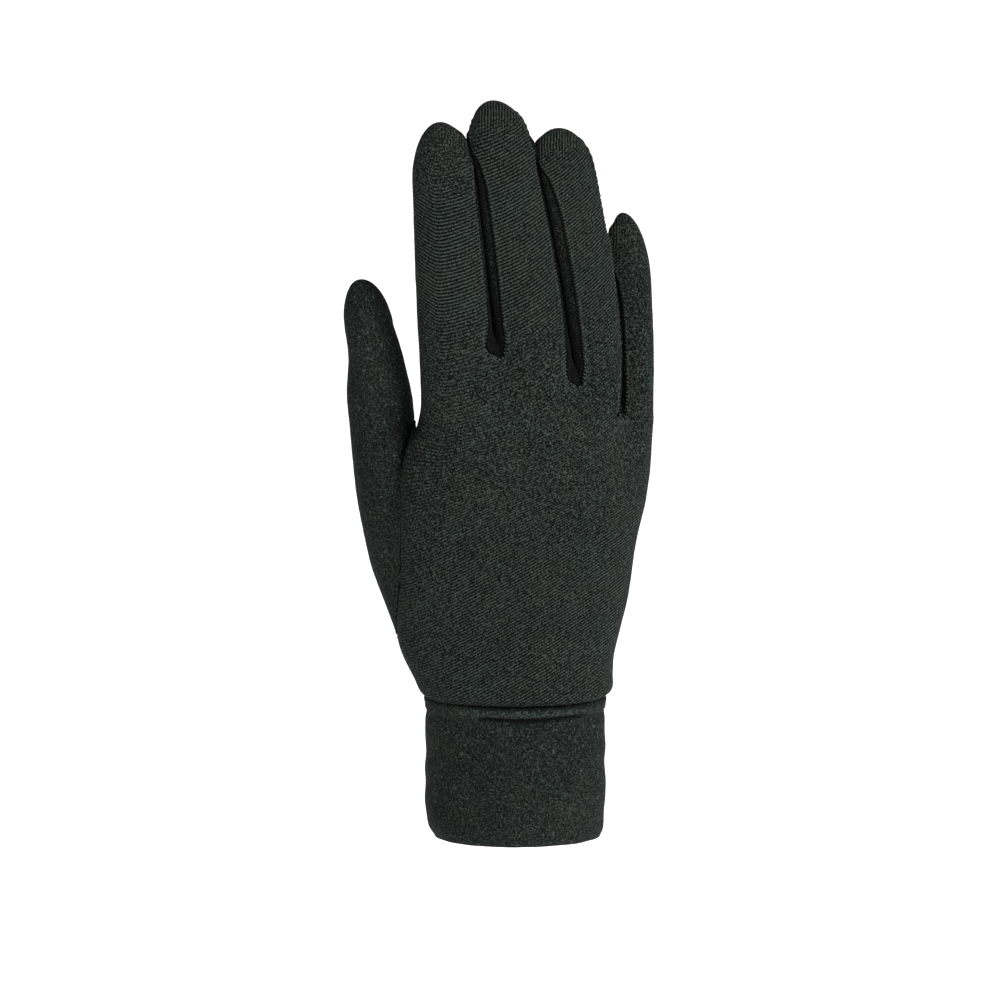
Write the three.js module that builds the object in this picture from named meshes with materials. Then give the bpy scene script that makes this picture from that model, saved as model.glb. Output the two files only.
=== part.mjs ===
// A thin knitted glove liner for the right hand, filled out as a hand fills it, in millimetres.
// +Z runs from the hem to the fingertips, the back of the hand faces -Y and the thumb is on the -X side.
// The origin is the middle of the hand opening, level with the lower edge of the cuff.
// Each cloth piece is a closed sheet: an outer surface, the same surface set in by the cloth's
// thickness, and the edges between the two.
import * as THREE from "three";

// Cloth
const clothThickness = 1.0;
const cuffThickness = 2.0; // two layers
const seamGap = 0.3; // left open between two pieces that are sewn together
const slotEndGap = 0.5; // the same, where a slot ends
const pointGap = 1.2; // left open above the pointed end of a finger's side strip

// Cuff
const cuffLength = 50.5;
const cuffWidth = 63;
const cuffDepth = 43;
const cuffRollRise = 1.1; // how far the rolled seam stands out at the top of the cuff

// Hand, from the wrist seam to the middle of the knuckle line
const handLength = 117;
const handWidth = 84;
const handDepth = 30;
const archDrop = 13; // how far the little finger's side falls back behind the others

// Fingers
const fingerLength = 94; // the middle finger's, from the slots to the tip
const webRise = 9; // from the slot's end on the back up to the web
const palmSlotRise = 7; // how much higher the slots end on the palm side
const footRound = 12; // the length over which a finger's section turns from boxy to oval

// Seams on a finger, in degrees from the middle of its back or palm
const backSeamLeft = 37;
const backSeamRight = 70;
const palmSeam = 60;
const slotSeam = 46; // where a slot ends

// Thumb
const thumbLength = 50.6; // above the crotch
const thumbWidth = 23;
const thumbDepth = 20;
const thumbSeamBack = 10; // degrees round the hand's side, on its back and in its palm
const thumbSeamPalm = 52;

// The points where the slots end on the back, and the two outer ends of the knuckle line.
// across is a share of the hand's width and up a share of its length.
const KNUCKLE_LINE = [
  { across: -0.4145, up: 1.175 },
  { across: -0.077, up: 1.067 },
  { across: 0.231, up: 0.967 },
  { across: 0.456, up: 0.851 },
  { across: 0.575, up: 0.825 },
];

// How the fingers stand. length is a share of the middle finger's. The rest are shares of the hand's width:
// shift moves the foot, aside is from the foot to the tip, and bow bends the finger out, most at bowAt.
const FINGERS = [
  { name: "index", length: 0.783, shift: -0.005, aside: -0.063, bow: 0, bowAt: 0.5 },
  { name: "middle", length: 1.002, shift: 0.004, aside: -0.185, bow: 0.017, bowAt: 0.67 },
  { name: "ring", length: 1.028, shift: 0, aside: -0.176, bow: 0.037, bowAt: 0.48 },
  { name: "little", length: 0.757, shift: -0.011, aside: -0.056, bow: 0.018, bowAt: 0.6 },
];

// How far each finger lies behind the hand's middle, and how far its tip curls, as shares of the hand's
// depth. roll turns it in degrees.
const FINGER_TURNS = [
  { behind: -0.017, curl: 0.2, roll: -4 },
  { behind: 0.017, curl: 0.2, roll: 0 },
  { behind: 0.033, curl: 0.2, roll: 12 },
  { behind: 0.383, curl: 0.233, roll: 5 },
];

// The fingers' sections, at the foot and near the tip: widths as shares of the hand's width and depths as
// shares of its depth. tip is the length over which the tip rounds off, as a share of the middle finger's
// length. box is how boxy the foot's section is (2 is an ellipse).
const FINGER_SIZES = [
  { width: 0.312, tipWidth: 0.248, depth: 0.8, tipDepth: 0.55, box: 3.2, tip: 0.212 },
  { width: 0.314, tipWidth: 0.252, depth: 0.833, tipDepth: 0.567, box: 3.2, tip: 0.186 },
  { width: 0.205, tipWidth: 0.245, depth: 0.65, tipDepth: 0.517, box: 2.8, tip: 0.16 },
  { width: 0.15, tipWidth: 0.174, depth: 0.55, tipDepth: 0.45, box: 2.4, tip: 0.234 },
];

// The hand's outline from the wrist seam (at 0) to the knuckle line (at 1): the two ends of each section, as
// shares of the hand's width and length.
const HAND_OUTLINE = [
  { at: 0.0, left: -0.373, leftUp: 0.0, right: 0.371, rightUp: 0.0 },
  { at: 0.04, left: -0.4, leftUp: 0.025, right: 0.4, rightUp: 0.02 },
  { at: 0.2, left: -0.4875, leftUp: 0.174, right: 0.4145, rightUp: 0.124 },
  { at: 0.4, left: -0.486, leftUp: 0.38, right: 0.471, rightUp: 0.291 },
  { at: 0.6, left: -0.479, leftUp: 0.594, right: 0.508, rightUp: 0.457 },
  { at: 0.74, left: -0.458, leftUp: 0.748, right: 0.546, rightUp: 0.573 },
  { at: 0.8, left: -0.4167, leftUp: 0.8166, right: 0.554, rightUp: 0.615 },
  { at: 0.87, left: -0.396, leftUp: 0.904, right: 0.5625, rightUp: 0.67 },
  { at: 1.0, left: -0.4145, leftUp: 1.175, right: 0.575, rightUp: 0.825 },
];

// The same sections' depth to the back and the palm, as shares of the hand's depth. drop is the share of the
// arch's fall at the right end, and box is how boxy the section is (2 is an ellipse).
const HAND_SECTIONS = [
  { at: 0.0, back: 0.71, palm: 0.71, drop: 0.0, box: 2.1 },
  { at: 0.04, back: 0.73, palm: 0.74, drop: 0.03, box: 2.15 },
  { at: 0.2, back: 0.66, palm: 0.74, drop: 0.2, box: 2.25 },
  { at: 0.4, back: 0.58, palm: 0.68, drop: 0.45, box: 2.35 },
  { at: 0.6, back: 0.52, palm: 0.6, drop: 0.7, box: 2.45 },
  { at: 0.8, back: 0.465, palm: 0.495, drop: 0.9, box: 2.52 },
  { at: 1.0, back: 0.42, palm: 0.42, drop: 1.0, box: 2.6 },
];

// Where the thumb is let into the hand's side, as a share of the way from the wrist seam to the knuckle line.
const THUMB_HOLE = { low: 0.2, high: 0.8 };
const footBlend = 0.3; // the share of that way over which the hand's section turns into the fingers' feet

// Sections of the thumb above its hole, each from an inner end near the crotch to an outer end at the
// outline. out is a share of the thumb's width. up is a share of its length, or below the crotch of the
// hole's height. behind and depth are shares of the thumb's depth.
const THUMB_SECTIONS = [
  { innerOut: 0.01, innerUp: 0.01, outerOut: 0.67, outerUp: -0.7, behind: 0.56, depth: 1.28 },
  { innerOut: 0.01, innerUp: 0.035, outerOut: 0.883, outerUp: -0.37, behind: 0.58, depth: 1.26 },
  { innerOut: 0.02, innerUp: 0.085, outerOut: 0.974, outerUp: -0.1, behind: 0.56, depth: 1.12 },
  { innerOut: 0.061, innerUp: 0.235, outerOut: 1.035, outerUp: 0.181, behind: 0.56, depth: 1.0 },
  { innerOut: 0.19, innerUp: 0.4855, outerOut: 1.02, outerUp: 0.47, behind: 0.58, depth: 0.88 },
  { innerOut: 0.32, innerUp: 0.683, outerOut: 1.065, outerUp: 0.672, behind: 0.62, depth: 0.78 },
];
const THUMB_TIP = { out: 0.822, up: 1.0, behind: 0.66 };

// The cuff's profile, from its seam (at 0) to its lower edge (at 1). swell is a share of the rolled seam's
// rise.
const CUFF_SECTIONS = [
  { down: 0.0, swell: 0.0 },
  { down: 0.02, swell: 0.85 },
  { down: 0.045, swell: 1.0 },
  { down: 0.075, swell: 0.4 },
  { down: 0.1, swell: -0.3 },
  { down: 0.16, swell: 0.0 },
  { down: 0.4, swell: 0.1 },
  { down: 0.7, swell: 0.2 },
  { down: 0.94, swell: -0.7 },
  { down: 1.0, swell: -1.8 },
];

// How finely the solids are divided
const STRIP_COLUMNS = 6;
const FOURCHETTE_COLUMNS = 4;
const HOLE_ROWS = 8;
const RISE_ROWS = [0, 0.03, 0.08, 0.18, 0.36, 0.58, 0.8, 1];
const TIP_ROWS = 4;
const FOURCHETTE_TIP_ROW = 2; // the tip row where the seams on a finger's side come together
const CUFF_COLUMNS = 36;

const BACK = -1;
const PALM = 1;
const rad = THREE.MathUtils.degToRad;
const lerp = THREE.MathUtils.lerp;
const smooth = (value) => THREE.MathUtils.smoothstep(value, 0, 1);
const vector = (x, y, z) => new THREE.Vector3(x, y, z);
const signedPower = (value, power) => Math.sign(value) * Math.abs(value) ** power;

// A smooth value of one column of a table at a place between its rows.
function valueAt(rows, key, column, place) {
  const last = rows.length - 1;
  let i = rows.findIndex((row) => row[key] > place) - 1;
  if (i < 0) i = place < rows[0][key] ? 0 : last - 1;
  const slope = (k) => {
    const low = Math.max(k - 1, 0);
    const high = Math.min(k + 1, last);
    return (rows[high][column] - rows[low][column]) / (rows[high][key] - rows[low][key]);
  };
  const span = rows[i + 1][key] - rows[i][key];
  const s = THREE.MathUtils.clamp((place - rows[i][key]) / span, 0, 1);
  const low = rows[i][column] * (1 + 2 * s) * (1 - s) ** 2 + slope(i) * span * s * (1 - s) ** 2;
  const high = rows[i + 1][column] * s * s * (3 - 2 * s) - slope(i + 1) * span * s * s * (1 - s);
  return low + high;
}

// A point on the hand between the wrist seam and the knuckle line. across runs from -1, at the left end of
// the section, to 1, and side is BACK or PALM. inset is the depth under the outer surface.
function handPoint(at, across, side, inset) {
  const outline = (column) => valueAt(HAND_OUTLINE, "at", column, at);
  const value = (column) => valueAt(HAND_SECTIONS, "at", column, at);
  const left = vector(outline("left") * handWidth, 0, cuffLength + outline("leftUp") * handLength);
  const right = vector(outline("right") * handWidth, 0, cuffLength + outline("rightUp") * handLength);
  const half = right.clone().sub(left).multiplyScalar(0.5);
  const middle = left.add(right).multiplyScalar(0.5);
  const box = value("box");
  const depth = (side === BACK ? value("back") : value("palm")) * handDepth;
  const bulge = Math.max(0, 1 - Math.abs(across) ** box) ** (1 / box);
  const fall = value("drop") * archDrop * Math.max(0, (across + 0.1) / 1.1) ** 2.5;
  const point = middle.addScaledVector(half, (across * (half.length() - inset)) / half.length());
  point.y = side * (depth - inset) * bulge + fall;
  return point;
}

const knucklePoint = ({ across, up }) => vector(across * handWidth, 0, cuffLength + up * handLength);

// Each finger's sizes in millimetres, with its foot, its directions and the heights where its slots end.
const fingers = FINGERS.map((place, i) => {
  const ends = [knucklePoint(KNUCKLE_LINE[i]), knucklePoint(KNUCKLE_LINE[i + 1])];
  const size = FINGER_SIZES[i];
  const turn = FINGER_TURNS[i];
  const length = place.length * fingerLength;
  const lean = Math.asin((place.aside * handWidth) / length);
  const foot = ends[0].clone().add(ends[1]).multiplyScalar(0.5);
  return {
    length,
    width: size.width * handWidth,
    tipWidth: size.tipWidth * handWidth,
    depth: size.depth * handDepth,
    tipDepth: size.tipDepth * handDepth,
    box: size.box,
    tipStart: 1 - (size.tip * fingerLength) / length,
    foot: foot.clone().add(vector(place.shift * handWidth, turn.behind * handDepth, 0)),
    along: vector(Math.sin(lean), 0, Math.cos(lean)),
    aside: vector(Math.cos(lean), 0, -Math.sin(lean)),
    bow: place.bow * handWidth,
    bowAt: place.bowAt,
    curl: turn.curl * handDepth,
    roll: rad(turn.roll),
    slotRise: ends.map((end) => (end.z - foot.z) / length),
    hasSeam: [i > 0, i < FINGERS.length - 1],
  };
});

// How far a curved line stands off its chord, from 0 at both ends to 1 at a peak.
function bowShare(place, peak) {
  const power = peak / (1 - peak);
  return (place / peak) ** power * ((1 - place) / (1 - peak));
}

// A point on a finger's tube. rise runs from 0 at its foot to 1 at its tip, and angle goes round it in
// degrees: 0 at the back of the hand, 90 at its right side and 180 at the palm side.
function fingerPoint(finger, rise, angle, inset) {
  const up = Math.max(rise, 0);
  const capRise = Math.max(0, (rise - finger.tipStart) / (1 - finger.tipStart));
  const cap = Math.sqrt(Math.max(0, 1 - capRise ** 2));
  const width = lerp(finger.width, finger.tipWidth, up) / 2 - inset;
  const depth = lerp(finger.depth, finger.tipDepth, smooth(up * 1.6)) / 2 - inset;
  const box = lerp(finger.box, 2.3, smooth((rise * finger.length) / footRound));
  const side = width * cap * signedPower(Math.sin(rad(angle)), 2 / box);
  const front = -depth * cap * signedPower(Math.cos(rad(angle)), 2 / box);
  const roll = finger.roll * smooth(up * 4 + 0.3);
  const point = finger.foot.clone().addScaledVector(finger.along, rise * (finger.length - inset));
  point.addScaledVector(finger.aside, side * Math.cos(roll) - front * Math.sin(roll));
  point.addScaledVector(finger.aside, finger.bow * bowShare(up, finger.bowAt));
  point.y += front * Math.cos(roll) + side * Math.sin(roll) + finger.curl * up * up;
  return point;
}

// The rises of a finger's rows from a slot's end to its tip.
function fingerRows(finger, start) {
  const rows = RISE_ROWS.map((share) => lerp(start, finger.tipStart, share));
  for (let i = 1; i <= TIP_ROWS; i++) {
    rows.push(lerp(finger.tipStart, 1, Math.sin((i / TIP_ROWS) * (Math.PI / 2))));
  }
  return rows;
}
const LAST_ROW = RISE_ROWS.length - 1 + TIP_ROWS;
const SEAM_END_ROW = RISE_ROWS.length - 1 + FOURCHETTE_TIP_ROW;

// The angle of the seam on one side of a finger (0 left, 1 right), on its back or palm, at one of its rows.
function seamAngle(finger, edge, side, row) {
  const sign = edge ? 1 : -1;
  if (!finger.hasSeam[edge] || row >= SEAM_END_ROW) return sign * 90;
  const back = edge ? backSeamRight : backSeamLeft;
  const along = Math.min(1, row / 4);
  const full = side === BACK ? lerp(slotSeam, back, smooth(along)) : palmSeam;
  const closing = Math.max(0, (row - RISE_ROWS.length + 1) / FOURCHETTE_TIP_ROW);
  const angle = lerp(full, 90, closing);
  return sign * (side === BACK ? angle : 180 - angle);
}

// Where a slot ends on a finger's edge: on the back, on the palm or between, with share 0, 1 or between.
function slotEnd(finger, edge, share) {
  const start = finger.slotRise[edge];
  if (!finger.hasSeam[edge]) return start;
  const rise = 2 * share * (1 - share) * (2 * webRise - palmSlotRise) + share * palmSlotRise;
  return start + rise / finger.length;
}

// A point of the seam strip between two fingers, on the left or right one. share runs from the back to the
// palm.
function sidePoint(finger, edge, row, share, inset) {
  const start = slotEnd(finger, edge, share) - (share > 0 && share < 1 ? inset / finger.length : 0);
  const rise = fingerRows(finger, start)[row];
  const angle = lerp(seamAngle(finger, edge, BACK, row), seamAngle(finger, edge, PALM, row), share);
  return fingerPoint(finger, rise, angle, inset);
}

// The line along which two neighbouring fingers meet, from the slot's end on the back (share 0) to the palm
// (share 1).
function webPoint(i, share, inset) {
  const left = sidePoint(fingers[i], 1, 0, share, inset);
  return left.add(sidePoint(fingers[i + 1], 0, 0, share, inset)).multiplyScalar(0.5);
}

// A point of a finger's strip on the back or palm of the hand, above the slots. column runs from 0 to 1.
function stripPoint(i, row, column, side, inset) {
  const finger = fingers[i];
  const share = side === BACK ? 0 : 1;
  const rises = [0, 1].map((edge) => fingerRows(finger, slotEnd(finger, edge, share))[row]);
  let [from, to] = [0, 1].map((edge) => seamAngle(finger, edge, side, row));
  if (side === PALM) [from, to] = [from <= 0 ? from + 360 : from, to];
  const point = fingerPoint(finger, lerp(rises[0], rises[1], column), lerp(from, to, column), inset);
  if (row === 0) {
    const pull = (edge, web) => {
      const own = fingerPoint(finger, rises[edge], edge ? to : from, inset);
      const near = smooth(1 - Math.abs(column - edge) * 3);
      point.addScaledVector(webPoint(web, share, inset).sub(own), near);
    };
    if (finger.hasSeam[0]) pull(0, i - 1);
    if (finger.hasSeam[1]) pull(1, i);
  }
  return point;
}

// How far across the hand a column of a finger's strip lies at the knuckle line, from -1 to 1.
function acrossAt(i, column, side) {
  const [low, high] = [KNUCKLE_LINE[0].across, KNUCKLE_LINE[KNUCKLE_LINE.length - 1].across];
  const ends = [i, i + 1].map((k) => (2 * (KNUCKLE_LINE[k].across - low)) / (high - low) - 1);
  const finger = fingers[i];
  let [from, to] = [0, 1].map((edge) => seamAngle(finger, edge, side, 0));
  if (side === PALM) [from, to] = [from <= 0 ? from + 360 : from, to];
  const sine = (share) => Math.sin(rad(lerp(from, to, share)));
  return lerp(ends[0], ends[1], (sine(column) - sine(0)) / (sine(1) - sine(0)));
}

// The edge of the thumb's hole: how far across it lies at one of the hole's rows, counted from its top.
const holeMiddle = (THUMB_HOLE.low + THUMB_HOLE.high) / 2;
const holeHalf = (THUMB_HOLE.high - THUMB_HOLE.low) / 2;
const holeAt = (turn) => holeMiddle + holeHalf * Math.cos(turn);
function holeEdge(turn, side) {
  const spread = rad(side === BACK ? thumbSeamBack : thumbSeamPalm);
  return -Math.cos(spread * Math.abs(Math.sin(turn)));
}

// The rows of the hand below the slots, as places between the wrist seam and the knuckle line.
const HAND_ROWS = [0, 0.02, 0.06, 0.13].map((at) => ({ at }));
for (let i = HOLE_ROWS; i >= 0; i--) {
  const turn = (i / HOLE_ROWS) * Math.PI;
  HAND_ROWS.push({ at: holeAt(turn), turn });
}
HAND_ROWS.push({ at: 0.86 }, { at: 0.93 }, { at: 1 });

// A point of the hand's back or palm below the slots, blended into the fingers' feet near the knuckle line.
function handPanelPoint(i, row, column, side, inset) {
  const { at, turn } = HAND_ROWS[row];
  const foot = acrossAt(i, column, side);
  const near = smooth((at - 1 + footBlend) / footBlend) ** 1.6;
  let across = foot;
  if (turn !== undefined && i === 0) {
    const leftEnd = holeEdge(turn, side);
    const inner = acrossAt(0, 1, side);
    across = lerp(inner, leftEnd, (inner - foot) / (inner + 1));
  }
  const point = handPoint(at, across, side, inset);
  if (near > 0) {
    const shift = stripPoint(i, 0, column, side, inset).sub(handPoint(1, foot, side, inset));
    point.addScaledVector(shift, near);
  }
  return point;
}

// Moves a point by a distance towards another.
function towards(point, other, distance) {
  const way = other.clone().sub(point);
  return point.clone().addScaledVector(way.normalize(), distance);
}

// Makes a closed sheet from patches. A patch is a grid of [outer, inner] pairs of points, and patches are
// joined where their outer points coincide. flip turns the patches' outer side round.
function sheet(patches, flip) {
  const outer = [];
  const inner = [];
  const found = new Map();
  const indexOf = ([out, inn]) => {
    const key = out.toArray().map((n) => Math.round(n * 500)).join();
    if (!found.has(key)) {
      found.set(key, outer.length);
      outer.push(out);
      inner.push(inn);
    }
    return found.get(key);
  };
  const faces = [];
  const addFace = (a, b, c) => {
    if (a !== b && b !== c && c !== a) faces.push(flip ? [a, c, b] : [a, b, c]);
  };
  for (const grid of patches) {
    const index = grid.map((row) => row.map(indexOf));
    for (let r = 0; r + 1 < grid.length; r++) {
      for (let c = 0; c + 1 < grid[r].length; c++) {
        addFace(index[r][c], index[r][c + 1], index[r + 1][c + 1]);
        addFace(index[r][c], index[r + 1][c + 1], index[r + 1][c]);
      }
    }
  }
  const count = outer.length;
  const edges = new Set();
  for (const [a, b, c] of faces) {
    edges.add(`${a},${b}`).add(`${b},${c}`).add(`${c},${a}`);
  }
  const triangles = [];
  for (const [a, b, c] of faces) triangles.push(a, b, c, a + count, c + count, b + count);
  for (const edge of edges) {
    const [a, b] = edge.split(",").map(Number);
    if (!edges.has(`${b},${a}`)) triangles.push(a, a + count, b, b, a + count, b + count);
  }
  const geometry = new THREE.BufferGeometry();
  const positions = [...outer, ...inner].flatMap((point) => point.toArray());
  geometry.setAttribute("position", new THREE.Float32BufferAttribute(positions, 3));
  geometry.setIndex(triangles);
  geometry.computeVertexNormals();
  return geometry;
}

// A grid of pairs of points on the outer surface and under it.
function grid(rows, columns, thickness, pointAt) {
  const pair = (row, column) => [pointAt(row, column, 0), pointAt(row, column, thickness)];
  const rowOf = (row) => Array.from({ length: columns }, (_, column) => pair(row, column));
  return Array.from({ length: rows }, (_, row) => rowOf(row));
}

// Half of the trank, on the back or palm: the hand's panel with the four finger strips in one piece.
function trankGeometry(side) {
  const patches = [];
  fingers.forEach((finger, i) => {
    const rows = HAND_ROWS.length + LAST_ROW;
    const patch = grid(rows, STRIP_COLUMNS + 1, clothThickness, (row, column, inset) => {
      const share = column / STRIP_COLUMNS;
      if (row < HAND_ROWS.length) return handPanelPoint(i, row, share, side, inset);
      return stripPoint(i, row - HAND_ROWS.length + 1, share, side, inset);
    });
    [0, 1].forEach((edge) => {
      const column = edge ? STRIP_COLUMNS : 0;
      const next = edge ? STRIP_COLUMNS - 1 : 1;
      patch.forEach((row, r) => {
        const above = r - HAND_ROWS.length + 1;
        const hole = i === 0 && !edge && HAND_ROWS[r]?.turn !== undefined;
        const openSide = (!finger.hasSeam[edge] && above < LAST_ROW) || above >= SEAM_END_ROW;
        if (hole || (finger.hasSeam[edge] && above > 0 && above < SEAM_END_ROW)) {
          row[column] = row[column].map((point, k) => towards(point, row[next][k], seamGap / 2));
        } else if (finger.hasSeam[edge] && above === 0) {
          row[column] = row[column].map((point, k) => towards(point, patch[r - 1][column][k], slotEndGap));
        } else if (openSide) {
          row[column].forEach((point) => (point.y += (side * seamGap) / 2));
        }
      });
    });
    patch[0].forEach((pair) => pair.forEach((point) => (point.z += seamGap / 2)));
    patches.push(patch);
  });
  return sheet(patches, side === PALM);
}

// The narrow strip that makes the facing sides of two fingers and the web between them.
function fourchetteGeometry(i) {
  const legs = [
    { finger: fingers[i], edge: 1 },
    { finger: fingers[i + 1], edge: 0 },
  ];
  const web = SEAM_END_ROW;
  const last = FOURCHETTE_COLUMNS;
  const patch = grid(2 * web + 1, last + 1, clothThickness, (row, column, inset) => {
    const share = column / last;
    if (row === web) return webPoint(i, share, inset);
    const leg = legs[row < web ? 0 : 1];
    return sidePoint(leg.finger, leg.edge, Math.abs(row - web), share, inset);
  });
  const endBelow = (pair, below) => pair.map((point, k) => towards(point, below[k], pointGap));
  patch[0] = patch[0].map((pair) => endBelow(pair, patch[1][last / 2]));
  patch[2 * web] = patch[2 * web].map((pair) => endBelow(pair, patch[2 * web - 1][last / 2]));
  for (const row of patch.slice(1, -1)) {
    const low = row[0].map((point, k) => towards(point, row[1][k], seamGap / 2));
    const high = row[last].map((point, k) => towards(point, row[last - 1][k], seamGap / 2));
    row[0] = low;
    row[last] = high;
  }
  return sheet([patch], true);
}

// A point on the edge of the thumb's hole. turn runs from 0 at the crotch over the back to pi at the heel.
function holePoint(turn, inset) {
  const side = turn <= Math.PI ? BACK : PALM;
  return handPoint(holeAt(turn), holeEdge(turn, side), side, inset);
}

// A point on one of the thumb's sections.
function thumbPoint(section, turn, inset) {
  const crotch = holePoint(0, 0);
  const holeHeight = crotch.z - holePoint(Math.PI, 0).z;
  const rise = (up) => crotch.z + up * (up < 0 ? holeHeight : thumbLength);
  const place = (out, up) => vector(crotch.x - out * thumbWidth, 0, rise(up));
  const inner = place(section.innerOut, section.innerUp);
  const outer = place(section.outerOut, section.outerUp);
  const half = outer.clone().sub(inner).multiplyScalar(0.5);
  const middle = inner.add(outer).multiplyScalar(0.5);
  const scale = (half.length() - inset) / half.length();
  const point = middle.addScaledVector(half, -Math.cos(turn) * scale);
  point.y = section.behind * thumbDepth - ((section.depth * thumbDepth) / 2 - inset) * Math.sin(turn);
  return point;
}

function thumbGeometry() {
  const around = 2 * HOLE_ROWS;
  const last = THUMB_SECTIONS[THUMB_SECTIONS.length - 1];
  const crotch = holePoint(0, 0);
  const capRows = TIP_ROWS;
  const rows = 1 + THUMB_SECTIONS.length + capRows;
  const patch = grid(rows, around + 1, clothThickness, (row, column, inset) => {
    const turn = ((column % around) / around) * 2 * Math.PI;
    if (row === 0) return holePoint(turn, inset);
    if (row <= THUMB_SECTIONS.length) return thumbPoint(THUMB_SECTIONS[row - 1], turn, inset);
    const round = ((row - THUMB_SECTIONS.length) / capRows) * (Math.PI / 2);
    const ring = thumbPoint(last, turn, inset);
    const middle = ring.clone().add(thumbPoint(last, turn + Math.PI, inset)).multiplyScalar(0.5);
    const up = crotch.z + THUMB_TIP.up * thumbLength - inset;
    const tip = vector(crotch.x - THUMB_TIP.out * thumbWidth, THUMB_TIP.behind * thumbDepth, up);
    return ring.lerp(middle, 1 - Math.cos(round)).addScaledVector(tip.sub(middle), Math.sin(round));
  });
  patch[0] = patch[0].map((pair, c) => pair.map((point, k) => towards(point, patch[1][c][k], seamGap / 2)));
  return sheet([patch], true);
}

// The cuff: a double band whose top is rolled outwards along the wrist seam.
function cuffGeometry() {
  const patch = grid(CUFF_SECTIONS.length, CUFF_COLUMNS + 1, cuffThickness, (row, column, inset) => {
    const { down, swell } = CUFF_SECTIONS[row];
    const turn = ((column % CUFF_COLUMNS) / CUFF_COLUMNS) * 2 * Math.PI;
    const grow = swell * cuffRollRise - inset;
    const x = (cuffWidth / 2 + grow) * Math.sin(turn);
    const y = -(cuffDepth / 2 + grow) * Math.cos(turn);
    const top = cuffLength - seamGap / 2;
    return vector(x, y, top * (1 - down));
  });
  return sheet([patch], true);
}

const knit = (color) => new THREE.MeshStandardMaterial({ color, roughness: 0.95, metalness: 0 });
const jersey = knit(0x1c2020);
const band = knit(0x1b1f1f);

function piece(name, geometry, material) {
  const mesh = new THREE.Mesh(geometry, material);
  mesh.name = name;
  return mesh;
}

const glove = new THREE.Group();
glove.add(piece("back_panel", trankGeometry(BACK), jersey));
glove.add(piece("palm_panel", trankGeometry(PALM), jersey));
FINGERS.slice(0, -1).forEach((finger, i) => {
  glove.add(piece(`fourchette_${finger.name}_${FINGERS[i + 1].name}`, fourchetteGeometry(i), jersey));
});
glove.add(piece("thumb", thumbGeometry(), jersey));
glove.add(piece("cuff", cuffGeometry(), band));

export default glove;
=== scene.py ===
import math

import bpy
import numpy as np
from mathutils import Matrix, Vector
from mathutils.kdtree import KDTree


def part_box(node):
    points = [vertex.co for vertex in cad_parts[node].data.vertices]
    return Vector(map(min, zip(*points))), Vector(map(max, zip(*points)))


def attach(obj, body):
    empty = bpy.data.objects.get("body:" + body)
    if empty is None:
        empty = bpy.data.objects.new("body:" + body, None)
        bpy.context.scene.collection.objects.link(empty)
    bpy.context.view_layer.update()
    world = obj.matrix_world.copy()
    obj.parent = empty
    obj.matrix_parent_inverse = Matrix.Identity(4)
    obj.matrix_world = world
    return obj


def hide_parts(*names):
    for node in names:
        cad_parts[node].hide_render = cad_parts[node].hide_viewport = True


MM = 0.001
BACK, PALM = -1, 1

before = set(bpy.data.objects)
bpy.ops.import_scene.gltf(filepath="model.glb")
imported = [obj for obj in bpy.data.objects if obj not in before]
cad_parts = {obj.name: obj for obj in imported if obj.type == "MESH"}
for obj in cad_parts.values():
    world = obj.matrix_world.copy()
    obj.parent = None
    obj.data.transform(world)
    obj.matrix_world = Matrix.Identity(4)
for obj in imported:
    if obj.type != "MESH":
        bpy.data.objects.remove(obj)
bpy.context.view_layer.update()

CUFF_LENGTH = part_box("cuff")[1][2] / MM  # the height of the cuff's solid

# Sizes that the solids were made from
HAND_LENGTH = 117
HAND_WIDTH = 84
HAND_DEPTH = 30
ARCH_DROP = 13
FINGER_LENGTH = 94
WEB_RISE = 9
PALM_SLOT_RISE = 7
FOOT_ROUND = 12
CUFF_WIDTH = 63
CUFF_DEPTH = 43
CUFF_ROLL_RISE = 1.1
THUMB_LENGTH = 50.6
THUMB_WIDTH = 23
THUMB_DEPTH = 20

# Seams, in degrees from the middle of a finger's back or palm, or round the hand's side
BACK_SEAM_LEFT = 37
BACK_SEAM_RIGHT = 70
PALM_SEAM = 60
SLOT_SEAM = 46
THUMB_SEAM_BACK = 10
THUMB_SEAM_PALM = 52


def table(columns, *rows):
    """A table with named columns, as arrays."""
    return dict(zip(columns.split(), np.array(rows, float).T))


# Shares of the hand's width and length
KNUCKLE_LINE = table(
    "across up",
    (-0.4145, 1.175),
    (-0.077, 1.067),
    (0.231, 0.967),
    (0.456, 0.851),
    (0.575, 0.825),
)
# Shares of the middle finger's length, of the hand's width (shift, aside, bow, width, tip_width) and of its
# depth (behind, curl, depth, tip_depth); roll in degrees; box is 2 for an ellipse
FINGERS = table(
    "length shift aside bow bow_at behind curl roll width tip_width depth tip_depth box tip",
    (0.783, -0.005, -0.063, 0.000, 0.50, -0.017, 0.200, -4, 0.312, 0.248, 0.800, 0.550, 3.2, 0.212),
    (1.002, 0.004, -0.185, 0.017, 0.67, 0.017, 0.200, 0, 0.314, 0.252, 0.833, 0.567, 3.2, 0.186),
    (1.028, 0.000, -0.176, 0.037, 0.48, 0.033, 0.200, 12, 0.205, 0.245, 0.650, 0.517, 2.8, 0.160),
    (0.757, -0.011, -0.056, 0.018, 0.60, 0.383, 0.233, 5, 0.150, 0.174, 0.550, 0.450, 2.4, 0.234),
)
FINGER_NAMES = ("index", "middle", "ring", "little")
FINGER_COUNT = len(FINGER_NAMES)
SLOT_COUNT = FINGER_COUNT - 1
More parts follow.
